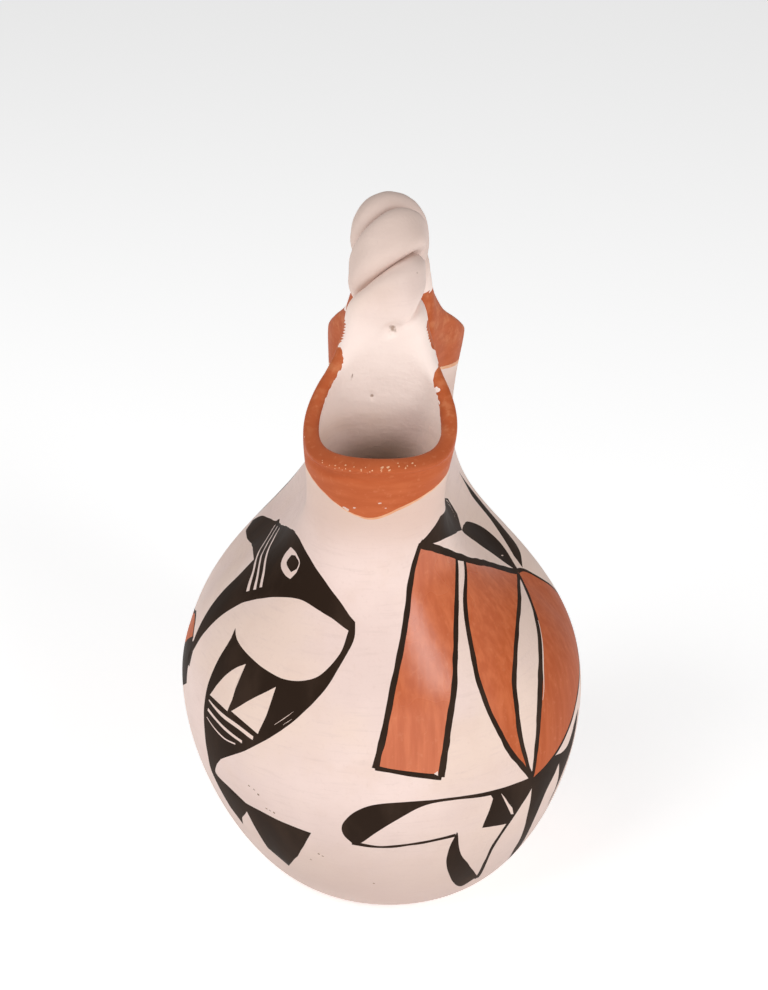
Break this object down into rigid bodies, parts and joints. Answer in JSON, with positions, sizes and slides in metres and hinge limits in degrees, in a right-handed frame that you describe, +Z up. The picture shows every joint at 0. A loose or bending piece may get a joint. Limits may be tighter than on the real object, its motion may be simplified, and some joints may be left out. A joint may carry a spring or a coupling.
{
  "type": "wedding jar",
  "caption": "Round-bellied fired clay jar with two leaning spouts joined over the top by a twisted rope handle; it pours from both sides and stands on a flat foot.",
  "frame": {"origin": "middle of the flat foot, on the surface that the jar stands on", "axes": "+Z up; the two spouts lean along Y, the near one towards -Y; the handle arches along Y over the middle"},
  "size_m": [0.1396, 0.1396, 0.2438],
  "materials": {
    "slipped_clay": "hand-burnished white clay slip, satin, painted in matt black and orange-red mineral paint"
  },
  "bodies": {
    "root": {"wedding_jar": "slipped_clay"}
  },
  "joints": []
}
